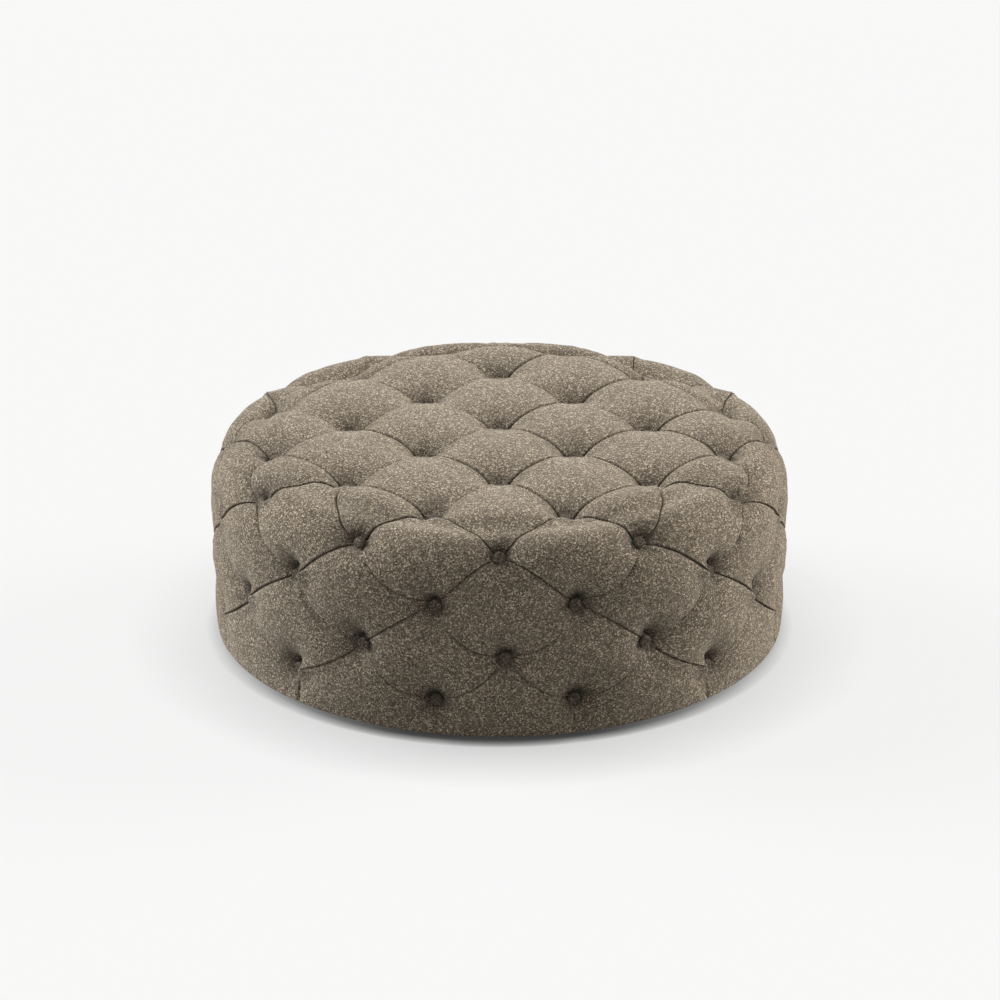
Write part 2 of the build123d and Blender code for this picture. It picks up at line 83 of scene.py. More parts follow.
# Buttons: their size, the top's grid, and each ring's first place in steps, radius, height and slope
BUTTON_HEIGHT = 0.005
BUTTON_SEAT = 0.0018
COLUMN_STEP = 0.140
ROW_STEP = 0.130
GRID_REACH = 3
GRID_SPAN = 4
FRONT_PAIR_SHARE = 0.87
SIDE_PAIR_SHARE = 0.815
CENTRE_DEPTH = 0.0215
TOP_EDGE_DEPTH = 0.030
TOP_EDGE_SLOPE = 80
RING_COUNT = 12
RINGS = {
    "rim": (0, 0.515, 0.362, 45),
    "upper": (0.5, 0.541, 0.2704, 9),
    "middle": (0, 0.541, 0.1709, 0),
    "lower": (0.5, 0.537, 0.0789, 0),
}
FRONT_TWIST = 1.2
FRONT_DRAW = 1.5

# Which way the next pillow stands right up against a button, by how far it is turned from the front
RIM_LEAN_TURN = 45
RIM_BACK_TURN = 75
SIDE_LEAN = 0.9
SIDE_LEAN_TURN = 20
SIDE_DROOP = 0.3

# Pleats: their depth, and the length of their dive to a button on its open, flank and steep side
TOP_CREST = 0.0070
RIM_CREST = 0.0070
SIDE_CREST = 0.0060
VALLEY_CREST = 0.0125
EDGE_NICK = 0.004
DIVES = (0.040, 0.020, 0.0025)

# Pleats: how far they bow from the straight way between their buttons
NO_BOW = Vector((0, 0, 0))
TOP_ARCH = 0.010
RIM_ARCH = 0.016
SIDE_ARCH = 0.006
INWARD_BOW = 0.030
LOWER_FRONT_BOW = 0.018
LOWER_SIDE_BOW = 0.009

# Pleats: how tightly they are tucked, as places from the upper or back end on, and the values there
CRISP = ((0, 0.3, 1), (0.35, 1, 1))
SOFT = ((0, 1), (0, 0.12))
FAINT = ((0, 1), (0.1, 0.1))
LEVEL = ((0, 1), (0, 0))
HANGING = ((0, 0.5, 1), (0.1, 0.5, 0.5))
SCOOPED = ((0, 0.15, 0.35, 1), (0, 0.5, 1.2, 0.8))
INWARD = ((0, 0.2, 0.35, 0.75, 1), (0, 0.1, 1, 0.9, 0.2))
INWARD_FRONT = ((0, 0.3, 0.5, 0.85, 1), (0, 0, 1.2, 1, 0))
INWARD_SIDE = ((0, 0.3, 0.5, 0.85, 1), (0, 0, 0.25, 0.2, 0))

# Pleats: where, in degrees from the front, they change their kind
FRONT_TURN = 20
SIDE_TURN = 30
FAINT_RIM_TURN = 45
FAINT_TOP_TURN = 60
STRAIGHT_TURN = 100
SOFT_LEFT_TURN = 135

# A pleat of the top that runs to the right is crisp if it starts in front of this
CRISP_BACK_REACH = 0.005

# Slits: a pleat's tight stretch is pushed in and tucked under the lip of the pillow behind or above
SLIT_DEPTH = 0.009
SLIT_TUCK = 0.0030
# The painted shade along a slit's line
SLIT_SHADE = 0.8
SLIT_START = 0.004
LIP_RAISE = 0.0018

# Pits: the floor under a button and the moat round it
PIT_RADIUS = 0.0130
PIT_OPEN = 0.004
MOAT = 0.004
MOAT_PLACE = 0.0145
MOAT_WIDTH = 0.003

# Pillows
PUFF_POWER = 0.78
CROWN_DEPTH = 0.0005
CROWN_SHARE = 0.2
GRID_CUTS = 11
GRID_POWER = 1.5
UNEVENNESS = 0.0009
UNEVENNESS_SCALE = 38
ROUGHNESS = 0.00035
WADDING_DEPTH = 0.0130
FOAM_DEPTH = 0.0210
INNER_CUTS = 5

# Round each button: a funnel, gathers, an overhang on the steep side, and the painted shade round the
# pit
NEIGHBOURHOOD = 0.11
ASIDE_TURN = 45
FUNNEL_DEPTH = 0.018
FUNNEL_LENGTH = 0.028
FUNNEL_POWER = 1.5
FUNNEL_SIDE_STRENGTH = 0.85
FUNNEL_ASIDE_STRENGTH = 0.35
GATHER = 0.0018
GATHER_COUNTS = (9, 13, 17)
GATHER_STRENGTHS = (0.4, 1)
FULL_TURN = 6.28
GATHER_LENGTH = 0.016
GATHER_START = 0.004
GATHER_SEED = 11
OVERHANG_PLACE = 0.019
OVERHANG_WIDTH = 0.008
OVERHANG_SOFTNESS = 0.7
Overhang = namedtuple("Overhang", "reach raise_up start")
TOP_OVERHANG = Overhang(reach=0.011, raise_up=0.0065, start=0.25)
SIDE_OVERHANG = Overhang(reach=0.016, raise_up=0.0100, start=-0.2)
TOP_OVERHANG_SHARE = 0.7
SIDE_OVERHANG_TURNS = (32, 42)
PIT_SHADE_REACH = 0.011
PIT_SHADE_ASIDE = 0.4
PIT_SHADE_LEAN = 0.6
PIT_SHADE_LEVEL = 0.75
PIT_SHADE_TILT = 0.25
TOP_PIT_SHADE = 0.6
SIDE_PIT_SHADE = 0.9

# Floor: its tone, its narrow and its wide shadow, and the share of its light that the camera sees
CONTACT_REACH = 0.027
CONTACT_LEAN = (0.6, 0.8)
CONTACT_POWER = 1.8
FLOOR_TONE = 0.93
CONTACT_FADE = (-0.25, -0.50)
CONTACT_LEAST = 0.4
WIDE_REACH = 0.20
WIDE_LEAN = (0.8, 0.6)
WIDE_SHARE = 0.42
LIT_SHARE = 0.13

# Slack: places are the same within TOUCH, grid lines within LINE_SLACK; LEAST_AREA keeps a division safe
TOUCH = 1e-6
LINE_SLACK = 1e-4
LEAST_AREA = 1e-12


def around(radius, azimuth, height):
    """The point at an azimuth in degrees, counted from the front."""
    angle = math.radians(azimuth)
    return Vector((radius * math.sin(angle), -radius * math.cos(angle), height))


def slope_out(azimuth, slope):
    """The outward direction at an azimuth that rises by slope degrees."""
    return around(math.cos(math.radians(slope)), azimuth, math.sin(math.radians(slope)))


def arc_points(centre, radii, start, end, steps):
    """Points on an arc in the (radius, height) half plane, with the angle counted from straight up."""
    angles = np.radians(np.linspace(start, end, steps))
    return [(centre[0] + radii[0] * math.sin(a), centre[1] + radii[1] * math.cos(a)) for a in angles]


def bell(distances, width):
    """A smooth bump, one where the distance is zero."""
    return np.exp(-((distances / width) ** 2))


class Meridian:
    """The envelope's outline, by the distance along it from the middle of the top."""

    def __init__(self):
        skirt = self.skirt_points()
        turn_radii = (EDGE_RADIUS - UNDER_RADIUS, EDGE_HEIGHT - HEM_HEIGHT)
        turn = arc_points((UNDER_RADIUS, EDGE_HEIGHT), turn_radii, 90, 180, TURN_STEPS)
        hem = [(r, HEM_HEIGHT) for r in np.linspace(UNDER_RADIUS, HEM_INNER_RADIUS, HEM_STEPS)]
        self.points = np.array(skirt + turn[1:] + hem[1:])
        self.along = np.concatenate([[0], np.cumsum(np.hypot(*np.diff(self.points, axis=0).T))])
        self.edge = self.along[len(skirt) - 1]
        tangent = np.gradient(self.points, self.along, axis=0)
        tangent /= np.linalg.norm(tangent, axis=1)[:, None]
        self.normals = np.stack([-tangent[:, 1], tangent[:, 0]], axis=1)
        dip = RIM_DIP * bell(self.along - RIM_DIP_PLACE, RIM_DIP_WIDTH)
        self.points = self.points - self.normals * dip[:, None]
        self.tree = kdtree.KDTree(len(skirt))
        for place, (radius, height) in enumerate(self.points[: len(skirt)].tolist()):
            self.tree.insert((radius, height, 0), place)
        self.tree.balance()

    def skirt_points(self):
        """The dome, the rounded rim, the side and the foot that draws in to the edge."""
        rim_centre = (SIDE_RADIUS - RIM_ROUND, TOP_HEIGHT - DOME_RISE - RIM_ROUND)
        shares = np.linspace(0, 1, TOP_STEPS)
        dome = [(rim_centre[0] * t, TOP_HEIGHT - DOME_RISE * t * t) for t in shares]
        rim = arc_points(rim_centre, (RIM_ROUND, RIM_ROUND), 0, 90, RIM_STEPS)
        side = [(SIDE_RADIUS, h) for h in np.linspace(rim_centre[1], SIDE_FOOT, SIDE_STEPS)]
        draw = SIDE_RADIUS - EDGE_RADIUS
        fall = SIDE_FOOT - EDGE_HEIGHT
        shares = np.linspace(0, 1, FOOT_STEPS)
        foot = [(SIDE_RADIUS - draw * t * t, SIDE_FOOT - fall * t) for t in shares]
        return dome + rim[1:] + side[1:] + foot[1:]

    def nearest(self, radius, height):
        """The distance along the outline that lies nearest a point."""
        place = self.tree.find((radius, height, 0))[1]
        best = self.along[place]
        if 0 < place < len(self.along) - 1:
            start, end = self.points[place - 1], self.points[place + 1]
            way = end - start
            share = np.dot(np.array((radius, height)) - start, way) / np.dot(way, way)
            best = self.along[place - 1] + share * (self.along[place + 1] - self.along[place - 1])
        return best

    def surface(self, along, azimuth):
        """Points on the envelope, and the outward normals there."""
        columns = (*self.points.T, *self.normals.T)
        radius, height, out, up = (np.interp(along, self.along, column) for column in columns)
        normals = np.stack([out * np.sin(azimuth), -out * np.cos(azimuth), up], axis=1)
        points = np.stack([radius * np.sin(azimuth), -radius * np.cos(azimuth), height], axis=1)
        return points, normals


meridian = Meridian()


class Tuft:
    """A button: its face, the way it looks, and its place on the envelope."""

    def __init__(self, ring, azimuth, face, out):
        self.ring = ring
        self.azimuth = azimuth
        self.face = face
        self.out = out
        self.on_top = ring in ("top_field", "top_edge")
        along = meridian.nearest(math.hypot(face.x, face.y), face.z)
        points, normals = meridian.surface([along], [math.atan2(face.x, -face.y)])
        self.top = Vector(points[0])
        self.floor = (self.top - face).dot(Vector(normals[0])) + BUTTON_HEIGHT + BUTTON_SEAT


def settled(azimuth):
    """Where a side button sits: near the front the rows are a little twisted and drawn together."""
    front = (1 + math.cos(math.radians(azimuth))) / 2
    return azimuth + front * (FRONT_TWIST - FRONT_DRAW * math.sin(4 * math.radians(azimuth)))


def turned(azimuth):
    """An azimuth between half a turn left and half a turn right of the front."""
    return (azimuth + 180) % 360 - 180


def top_tuft(column, row):
    """A button of the top grid."""
    last_row, last_column = abs(row) == GRID_REACH, abs(column) == GRID_REACH
    x = column * COLUMN_STEP * (FRONT_PAIR_SHARE if last_row else 1)
    y = row * ROW_STEP * (SIDE_PAIR_SHARE if last_column else 1)
    outer = last_row or last_column or abs(row) == GRID_REACH - 1 and column != 0
    outwards = (x * x + y * y) / (GRID_REACH * COLUMN_STEP) ** 2
    sink = CENTRE_DEPTH + (TOP_EDGE_DEPTH - CENTRE_DEPTH) * outwards
    azimuth = math.degrees(math.atan2(x, -y))
    out = slope_out(azimuth, TOP_EDGE_SLOPE) if outer else Vector((0, 0, 1))
    return Tuft("top_edge" if outer else "top_field", azimuth, Vector((x, y, TOP_HEIGHT - sink)), out)


def side_ring(name):
    """One ring of buttons on the rim or the side."""
    first, radius, height, slope = RINGS[name]
    ring = []
    for step in range(RING_COUNT):
        nominal = (first + step) * 360 / RING_COUNT
        azimuth = nominal if name == "rim" else settled(turned(nominal))
        ring.append(Tuft(name, azimuth, around(radius, azimuth, height), slope_out(azimuth, slope)))
    return ring


def lay_out():
    """All tufts, and the pillows between them."""
    grid = {}
    for row in range(-GRID_REACH, GRID_REACH + 1):
        for column in range(-GRID_REACH, GRID_REACH + 1):
            if (row + column) % 2 == 0 and abs(row) + abs(column) <= GRID_SPAN:
                grid[column, row] = top_tuft(column, row)
    top_edge = sorted((t for t in grid.values() if t.ring == "top_edge"), key=lambda t: t.azimuth % 360)
    rim, upper, middle, lower = (side_ring(name) for name in RINGS)
    edge = [Tuft("edge", t.azimuth, around(EDGE_RADIUS, t.azimuth, EDGE_HEIGHT), t.out) for t in lower]
    quilts = []
    for row in range(1 - GRID_REACH, GRID_REACH):
        for column in range(1 - GRID_REACH, GRID_REACH):
            corners = [(column, row - 1), (column + 1, row), (column, row + 1), (column - 1, row)]
            if (row + column) % 2 and all(place in grid for place in corners):
                quilts.append([grid[place] for place in corners])
    quarter = RING_COUNT // 4
    tips = {0: grid[0, -2], quarter: grid[2, 0], 2 * quarter: grid[0, 2], 3 * quarter: grid[-2, 0]}
    for step in range(RING_COUNT):
        ahead = (step + 1) % RING_COUNT
        tip = [tips[step]] if step in tips else []
        quilts.append([rim[step], top_edge[step]] + tip + [top_edge[step - 1]])
        quilts.append([rim[step], upper[step], rim[ahead], top_edge[step]])
        quilts.append([upper[step - 1], middle[step], upper[step], rim[step]])
        quilts.append([middle[step], lower[step], middle[ahead], upper[step]])
        quilts.append([lower[step - 1], edge[step - 1], edge[step], lower[step], middle[step]])
    return list(grid.values()) + rim + upper + middle + lower + edge, quilts


tufts, pillows = lay_out()
buttons = [tuft for tuft in tufts if tuft.ring != "edge"]


def turn_of(point):
    """How many degrees a point lies round from the front."""
    return abs(turned(math.degrees(math.atan2(point.x, -point.y))))


def away_from_front(point):
    """The level direction round the drum that leads away from the front."""
    side = 1 if point.x >= 0 else -1
    return Vector((-point.y, point.x, 0)).normalized() * side


def steep_side(tuft):
    """The side of a button on which the next pillow stands right up against it."""
    if tuft.on_top:
        return Vector((0, -1, 0))
    down = around(1, tuft.azimuth, -1).normalized()
    turn = abs(turned(tuft.azimuth))
    if tuft.ring == "rim":
        forward = away_from_front(tuft.top) * -min(turn / RIM_LEAN_TURN, 1)
        return Vector((0, -1, 0)) if turn > RIM_BACK_TURN else (down + forward).normalized()
    return away_from_front(tuft.top) * -SIDE_LEAN * min(turn / SIDE_LEAN_TURN, 1) + down * SIDE_DROOP


def top_fold(start, end, middle, near_side):
    """The bow, tightness and crest depth of a pleat of the top."""
    rightward = end.top.x > start.top.x
    crisp = start.top.y < CRISP_BACK_REACH if rightward else middle.x > 0
    return (near_side * -TOP_ARCH, CRISP, TOP_CREST) if crisp else (NO_BOW, SOFT, TOP_CREST)


def edge_fold(rings):
    """The bow, tightness and crest depth of a pleat that ends at the bottom edge or runs along it."""
    return (NO_BOW, LEVEL, 0.0) if rings == {"edge"} else (NO_BOW, HANGING, EDGE_NICK)


def outward_fold(rings, turn, middle, near_side):
    """The bow, tightness and crest depth of a side pleat that falls away from the front."""
    crest = RIM_CREST if "rim" in rings else SIDE_CREST
    if "lower" in rings:
        bow = LOWER_FRONT_BOW if turn < FRONT_TURN else LOWER_SIDE_BOW
        return near_side * bow, SCOOPED, crest
    if "top_edge" in rings and turn > STRAIGHT_TURN:
        crisp = turn < SOFT_LEFT_TURN or middle.x > 0
        return NO_BOW, CRISP if crisp else SOFT, crest
    return near_side * -(RIM_ARCH if "top_edge" in rings else SIDE_ARCH), CRISP, crest


def inward_fold(rings, turn, near_side, away_side):
    """The bow, tightness and crest depth of a side pleat that falls towards the front."""
    from_top = "top_edge" in rings
    crest = RIM_CREST if "rim" in rings else SIDE_CREST
    if turn > (FAINT_TOP_TURN if from_top else SIDE_TURN):
        crest = VALLEY_CREST
    if from_top and turn < FRONT_TURN:
        return near_side * -SIDE_ARCH, CRISP, crest
    if "rim" not in rings:
        tight = INWARD_FRONT if turn < SIDE_TURN else INWARD_SIDE
    elif turn > (FAINT_TOP_TURN if from_top else FAINT_RIM_TURN):
        tight = FAINT
    else:
        tight = INWARD
    return away_side * INWARD_BOW, tight, crest


class Pleat:
    """The fold between two buttons: how deep it runs, how it hangs, and where it is tucked tight."""

    def __init__(self, first, second):
        self.ends = (first, second)
        self.length = (second.face - first.face).length
        rings = {first.ring, second.ring}
        middle = (first.top + second.top) / 2
        way = (second.top - first.top).normalized()
        on_top = first.on_top and second.on_top
        measure = (lambda t: t.top.y) if on_top else (lambda t: t.top.z)
        self.start, end = sorted(self.ends, key=measure, reverse=True)
        side = way.cross((first.out + second.out).normalized()).normalized()
        near = Vector((0, -1, 0)) if on_top else Vector((middle.x, middle.y, -1.0))
        near_side = side if side.dot(near) > 0 else -side
        away_side = side if side.dot(away_from_front(middle)) > 0 else -side
        self.tuck = -near_side
        if on_top:
            fold = top_fold(self.start, end, middle, near_side)
        elif "edge" in rings:
            fold = edge_fold(rings)
        elif abs(turned(end.azimuth)) > abs(turned(self.start.azimuth)):
            fold = outward_fold(rings, turn_of(middle), middle, near_side)
        else:
            fold = inward_fold(rings, turn_of(middle), near_side, away_side)
        self.bow, self.tight, self.crest = fold
        self.dives = []
        for tuft, toward in ((first, way), (second, -way)):
            self.dives.append(float(np.interp(toward.dot(steep_side(tuft)), (-1, 0, 1), DIVES)))

    def depth(self, place):
        """How deep the pleat lies under the envelope, at a distance from its first button."""
        depth = self.crest
        for tuft, dive, gap in zip(self.ends, self.dives, (place, self.length - place)):
            if tuft.ring != "edge":
                depth += (tuft.floor - self.crest) * math.exp(-max(gap - PIT_RADIUS, 0) / dive)
            elif self.crest:
                depth += EDGE_NICK * math.exp(-gap / DIVES[1])
        return depth

    def tightness(self, place):
        """How sharply the fold is tucked, at a distance from its first button."""
        share = place / self.length
        return float(np.interp(share if self.start is self.ends[0] else 1 - share, *self.tight))


# One corner of a pillow: its four points, its button, the pleat ahead, the one behind and the pillow
Patch = namedtuple("Patch", "points tuft ahead behind pillow")


def cover_pattern(cuts):
    """The cover's mesh, one four-sided grid per pillow corner, with each face's place in its patch."""
    bm = bmesh.new()
    place_of = {id(tuft): place for place, tuft in enumerate(tufts)}
    verts = [bm.verts.new(tuft.top) for tuft in tufts]
    for corners in pillows:
        bm.faces.new([verts[place_of[id(tuft)]] for tuft in corners])
    bmesh.ops.bisect_edges(bm, edges=bm.edges[:], cuts=1)
    bm.verts.index_update()
    pleats = {}
    for vert in bm.verts:
        if vert.index >= len(tufts):
            ends = [edge.other_vert(vert).index for edge in vert.link_edges]
            pleats[vert.index] = Pleat(*(tufts[end] for end in ends if end < len(tufts)))
    bmesh.ops.poke(bm, faces=bm.faces[:])
    bm.verts.index_update()
    first_centre = len(tufts) + len(pleats)
    spokes = [e for e in bm.edges if max(v.index for v in e.verts) >= first_centre]
    spokes = [e for e in spokes if min(v.index for v in e.verts) < len(tufts)]
    bmesh.ops.dissolve_edges(bm, edges=spokes, use_verts=False)
    grid = bm.loops.layers.uv.new("grid")
    patch_layer = bm.faces.layers.int.new("patch")
    patches = []
    for face in bm.faces:
        loops = list(face.loops)
        start = next(place for place, loop in enumerate(loops) if loop.vert.index < len(tufts))
        loops = loops[start:] + loops[:start]
        for loop, place in zip(loops, ((0, 0), (1, 0), (1, 1), (0, 1))):
            loop[grid].uv = place
        face[patch_layer] = len(patches)
        points = [loop.vert.co.copy() for loop in loops]
        corner, ahead, centre, behind = (loop.vert.index for loop in loops)
        sides = (pleats[ahead], pleats[behind])
        patches.append(Patch(points, tufts[corner], *sides, centre - first_centre))
    bmesh.ops.subdivide_edges(bm, edges=bm.edges[:], cuts=cuts, use_grid_fill=True)
    return bm, patches, grid, patch_layer


def warp(share):
    """Draws the grid's lines together towards the pleats."""
    return share ** GRID_POWER


def relax(points, quads, fixed, depth):
    """A stretched and blown up skin between fixed points: its plain sag and its share of full swell."""
    local = np.unique(quads)
    place = np.full(len(points), -1)
    place[local] = np.arange(len(local))
    triangles = place[np.concatenate([quads[:, [0, 1, 2]], quads[:, [0, 2, 3]]])]
    spots = points[local]
    size = len(local)
    stiffness = np.zeros((size, size))
    load = np.zeros(size)
    for turn in range(3):
        a, b, c = (triangles[:, (turn + k) % 3] for k in range(3))
        first, second = spots[a] - spots[c], spots[b] - spots[c]
        area = np.linalg.norm(np.cross(first, second), axis=1)
        weight = np.einsum("ij,ij->i", first, second) / np.maximum(area, LEAST_AREA) / 2
        np.add.at(stiffness, (a, b), -weight)
        np.add.at(stiffness, (b, a), -weight)
        np.add.at(stiffness, (a, a), weight)
        np.add.at(stiffness, (b, b), weight)
        np.add.at(load, a, area / 6)
    held = fixed[local]
    free = ~held
    sag = depth[local].copy()
    swell = np.zeros(size)
    inner = stiffness[np.ix_(free, free)]
    sag[free] = np.linalg.solve(inner, -stiffness[np.ix_(free, held)] @ sag[held])
    swell[free] = np.linalg.solve(inner, load[free])
    return local, sag, np.maximum(swell, 0) / swell.max()


def add_hem(bm):
    """Turns the cover's edge under the drum, ring by ring."""
    rim_edges = [e for e in bm.edges if e.is_boundary]
    base = meridian.edge
    turn_end = base + math.pi / 4 * (EDGE_RADIUS - UNDER_RADIUS + EDGE_HEIGHT - HEM_HEIGHT)
    stops = list(np.linspace(base, turn_end, HEM_RINGS + 1)[1:])
    stops += list(np.linspace(turn_end, meridian.along[-1], HEM_RINGS + 1)[1:])
    for stop in stops:
        made = bmesh.ops.extrude_edge_only(bm, edges=rim_edges)["geom"]
        verts = [g for g in made if isinstance(g, bmesh.types.BMVert)]
        azimuths = np.array([math.atan2(v.co.x, -v.co.y) for v in verts])
        points = meridian.surface(np.full(len(verts), stop), azimuths)[0]
        for vert, point in zip(verts, points):
            vert.co = point
        rim_edges = [g for g in made if isinstance(g, bmesh.types.BMEdge)]


class Skin:
    """A tufted skin: pillows swollen between pleats that dive to the buttons.

    In each patch, u runs from the button along the pleat ahead, and v along the pleat behind.
    """

    def __init__(self, cuts):
        self.bm, self.patches, grid, patch_layer = cover_pattern(cuts)
        self.bm.verts.index_update()
        self.first_line = warp(1 / (cuts + 1))
        self.count = len(self.bm.verts)
        self.owner = np.zeros(self.count, int)
        share = np.zeros((self.count, 2))
        for face in self.bm.faces:
            for loop in face.loops:
                self.owner[loop.vert.index] = face[patch_layer]
                share[loop.vert.index] = loop[grid].uv
        self.quads = np.array([[loop.vert.index for loop in face.loops] for face in self.bm.faces])
        face_patch = np.array([face[patch_layer] for face in self.bm.faces])
        self.pillow_of = np.array([patch.pillow for patch in self.patches])[face_patch]
        self.bm.loops.layers.uv.remove(grid)
        self.u, self.v = (warp(column.clip(0, 1)) for column in share.T)
        self.spread_out()
        self.depth = np.zeros(self.count)
        self.fixed = np.zeros(self.count, bool)
        self.fold = np.zeros((self.count, 3))
        self.shade = np.zeros(self.count)

    def spread_out(self):
        """Places every point on the envelope, with the pleats bowed."""
        u, v = self.u, self.v
        corners = np.array([[tuple(p) for p in patch.points] for patch in self.patches])[self.owner]
        weights = np.stack([(1 - u) * (1 - v), u * (1 - v), u * v, (1 - u) * v], axis=1)
        chord = np.einsum("ij,ijk->ik", weights, corners)
        bows = [(tuple(patch.ahead.bow), tuple(patch.behind.bow)) for patch in self.patches]
        bows = np.array(bows)[self.owner]
        chord += bows[:, 0] * ((1 - (1 - u) ** 2) * (1 - v))[:, None]
        chord += bows[:, 1] * ((1 - (1 - v) ** 2) * (1 - u))[:, None]
        along = np.array([meridian.nearest(math.hypot(x, y), z) for x, y, z in chord])
        self.along = np.minimum(along, meridian.edge)
        self.azimuth = np.arctan2(chord[:, 0], -chord[:, 1])
        self.envelope, self.normals = meridian.surface(self.along, self.azimuth)

    def from_tuft(self, tuft):
        """Each point's offset and distance from a button's place on the envelope."""
        offset = self.envelope - np.array(tuft.top)
        return offset, np.linalg.norm(offset, axis=1)

    def run_pleats(self):
        """Sets the depth and the tuck along the pleats, and raises the lip beside them."""
        for index in range(self.count):
            patch = self.patches[self.owner[index]]
            u, v = self.u[index], self.v[index]
            for pleat, run, off, middle in ((patch.ahead, u, v, 1), (patch.behind, v, u, 3)):
                reach = run / 2 * pleat.length
                place = reach if pleat.ends[0] is patch.tuft else pleat.length - reach
                tight = pleat.tightness(place) * min(max(reach - PIT_RADIUS, 0) / SLIT_START, 1)
                tuck = np.array(pleat.tuck)
                inwards = (patch.points[2] - patch.points[middle]).dot(pleat.tuck) > 0
                if off < TOUCH:
                    self.depth[index] = pleat.depth(place)
                    self.fixed[index] = True
                    self.fold[index] = (tuck * SLIT_TUCK - self.normals[index] * SLIT_DEPTH) * tight
                    # Painted shade: the cloth's colour is darkened along the slit's line
                    self.shade[index] = min(tight, 1) * SLIT_SHADE
                elif abs(off - self.first_line) < LINE_SLACK and inwards:
                    self.fold[index] += (self.normals[index] - tuck) * LIP_RAISE * tight

    def sink_pits(self):
        """Sinks a floor under each button, with a moat round it."""
        for tuft in buttons:
            offset, reach = self.from_tuft(tuft)
            steep = offset @ np.array(steep_side(tuft)) / np.maximum(reach, TOUCH)
            near = reach < PIT_RADIUS + PIT_OPEN * (-steep).clip(0, 1)
            self.depth[near] = tuft.floor + MOAT * bell(reach[near] - MOAT_PLACE, MOAT_WIDTH)
            self.fixed |= near
            self.fold[near] = 0
            # Painted shade: the cloth's colour is darkened fully on the pit's floor
            self.shade[near] = 1
        self.fixed |= np.abs(self.along - meridian.edge) < TOUCH

    def swell(self):
        """Blows each pillow up until its crown reaches the envelope."""
        for pillow in range(len(pillows)):
            quads = self.quads[self.pillow_of == pillow]
            local, sag, swell = relax(self.envelope, quads, self.fixed, self.depth)
            rise = swell ** PUFF_POWER
            inside = rise > CROWN_SHARE
            lift = ((sag[inside] - CROWN_DEPTH) / rise[inside]).min()
            self.depth[local] = sag - lift * rise

    def round_buttons(self, detailed):
        """Opens a funnel on each button's open side and, where wanted, adds the finer form and the
        painted shade round the pit.
        """
        dice = np.random.default_rng(GATHER_SEED)
        lean = np.zeros((self.count, 3))
        for tuft in buttons:
            offset, reach = self.from_tuft(tuft)
            near = (reach > PIT_RADIUS) & (reach < NEIGHBOURHOOD)
            past = reach[near] - PIT_RADIUS
            way = offset[near] / reach[near][:, None]
            steep = way @ np.array(steep_side(tuft))
            aside = 0 if tuft.on_top else min(abs(turned(tuft.azimuth)) / ASIDE_TURN, 1)
            strength = FUNNEL_SIDE_STRENGTH + FUNNEL_ASIDE_STRENGTH * aside
            if tuft.on_top or tuft.ring == "rim":
                strength = 1.0
            opening = (0.5 - 0.5 * steep).clip(0, 1) ** FUNNEL_POWER
            self.depth[near] += FUNNEL_DEPTH * strength * np.exp(-past / FUNNEL_LENGTH) * opening
            if detailed:
                self.depth[near] -= gathers(tuft, way, past, dice)
                lean[near] += overhang(tuft, way, steep, reach[near], self.normals[near])
                # Painted shade round the pit, reaching farther and darker on its open side
                self.shade[near] = np.maximum(self.shade[near], pit_shade(tuft, past, steep, aside))
        if detailed:
            spots = (Vector(point) * UNEVENNESS_SCALE for point in self.envelope)
            self.depth += UNEVENNESS * np.array([noise.noise(spot) for spot in spots])
            self.depth += ROUGHNESS * dice.normal(size=self.count)
            self.fold = self.fold + lean

    def sink_back(self):
        """Lowers the back pillows, and spares the rim's buttons."""
        behind = (-np.cos(self.azimuth)).clip(0, 1) ** BACK_SINK_POWER
        behind *= 1 + BACK_SINK_OBLIQUE_SHARE * np.sin(2 * self.azimuth) ** 2
        for tuft in buttons:
            if tuft.ring == "rim":
                behind *= 1 - BACK_SPARE * bell(self.from_tuft(tuft)[1], BACK_SPARE_REACH)
        self.depth += BACK_SINK * behind * bell(self.along - BACK_SINK_PLACE, BACK_SINK_WIDTH)

    def finish(self, extra_depth, detailed):
        """The finished mesh, with the painted shade of its pits and slits as an attribute."""
        self.run_pleats()
        self.sink_pits()
        self.swell()
        self.round_buttons(detailed)
        self.sink_back()
        shape = self.envelope - self.normals * (self.depth + extra_depth)[:, None]
        if detailed:
            shape += self.fold
        layer = self.bm.verts.layers.float.new("shade")
        for vert, point, dark in zip(self.bm.verts, shape, self.shade):
            vert.co = point
            vert[layer] = dark
        if detailed:
            add_hem(self.bm)
        bmesh.ops.recalc_face_normals(self.bm, faces=self.bm.faces[:])
        return self.bm


def gathers(tuft, way, past, dice):
    """Small radial folds round a button."""
    across = tuft.out.orthogonal().normalized()
    side = np.array(tuft.out.cross(across))
    angle = np.arctan2(way @ side, way @ np.array(across))
    fade = np.exp(-past / GATHER_LENGTH) * np.minimum(past / GATHER_START, 1)
    waves = 0
    for count in GATHER_COUNTS:
        strength = dice.uniform(*GATHER_STRENGTHS)
        waves = waves + strength * np.cos(count * angle + dice.uniform(0, FULL_TURN))
    return GATHER * fade * waves


def overhang(tuft, way, steep, reach, normals):
    """How far the pillow on a button's steep side leans over it."""
    size = TOP_OVERHANG if tuft.on_top else SIDE_OVERHANG
    share = TOP_OVERHANG_SHARE
    if not tuft.on_top:
        share = float(np.interp(abs(turned(tuft.azimuth)), SIDE_OVERHANG_TURNS, (0, 1)))
    hug = bell(reach - OVERHANG_PLACE, OVERHANG_WIDTH)
    hug *= ((steep - size.start) / OVERHANG_SOFTNESS).clip(0, 1) * share
    return normals * (size.raise_up * hug)[:, None] - way * (size.reach * hug)[:, None]


